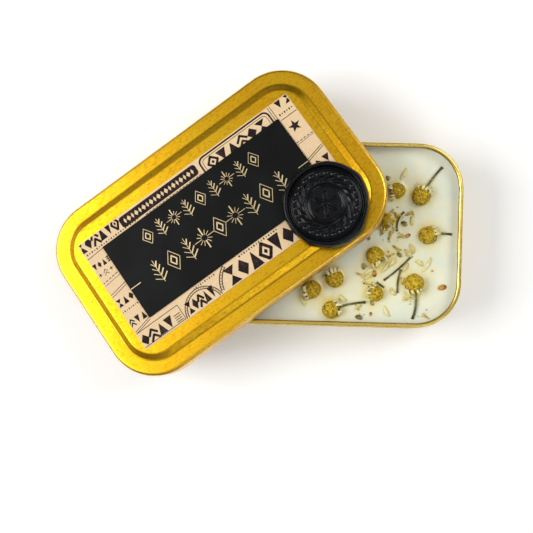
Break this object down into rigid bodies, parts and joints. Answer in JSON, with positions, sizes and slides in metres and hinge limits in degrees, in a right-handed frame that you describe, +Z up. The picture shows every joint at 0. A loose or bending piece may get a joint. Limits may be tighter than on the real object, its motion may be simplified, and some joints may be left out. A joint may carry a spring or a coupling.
{
  "type": "candle tin",
  "caption": "Shallow rectangular tinplate candle tin with a slip-on lid lying ajar, wax fill topped with dried flower heads, and a paper, card and wax seal on the lid.",
  "frame": {"origin": "middle of the base's flat underside", "axes": "+Z up out of the open base, +X along the base's length towards its uncovered end, +Y across the base"},
  "size_m": [0.1405, 0.1048, 0.0379],
  "materials": {
    "gold_tinplate_base": "gold-lacquered tinplate, satin",
    "gold_tinplate_lid": "gold-lacquered tinplate, satin with a fine grain",
    "soy_wax": "smooth cream soy wax with faint yellow oil stains",
    "chamomile_yellow": "dried, pitted",
    "calyx_green": "dried, papery",
    "stem_olive": "dried, ribbed",
    "petal_cream": "dried, thin",
    "floret_gold": "dried",
    "bract_brown": "dried",
    "seed_orange": "dried",
    "clear_adhesive": "pressure-sensitive adhesive",
    "kraft_paper": "uncoated kraft paper with fibre flecks",
    "printing_ink": "slightly worn black ink",
    "black_card": "smooth black card",
    "champagne_foil": "hot-stamped metallic foil",
    "black_sealing_wax": "glossy, finely dimpled"
  },
  "bodies": {
    "base": {"tin_base": "gold_tinplate_base", "wax_fill": "soy_wax", "chamomile_heads": "chamomile_yellow", "chamomile_calyxes": "calyx_green", "chamomile_stems": "stem_olive", "broken_head": "chamomile_yellow", "loose_stems": "stem_olive", "ray_petals": "petal_cream", "disc_florets": "floret_gold", "bract_flakes": "bract_brown", "seeds": "seed_orange"},
    "lid": {"lid_shell": "gold_tinplate_lid", "paper_adhesive": "clear_adhesive", "ticket_paper": "kraft_paper", "ticket_print": "printing_ink", "card_adhesive": "clear_adhesive", "black_card": "black_card", "foil_ornament": "champagne_foil", "seal_adhesive": "clear_adhesive", "wax_seal": "black_sealing_wax"}
  },
  "joints": [
    {"name": "lid_lift", "type": "slide", "parent": "base", "child": "lid", "axis": [0, 0, 1], "range_m": [0, 0.06]}
  ]
}
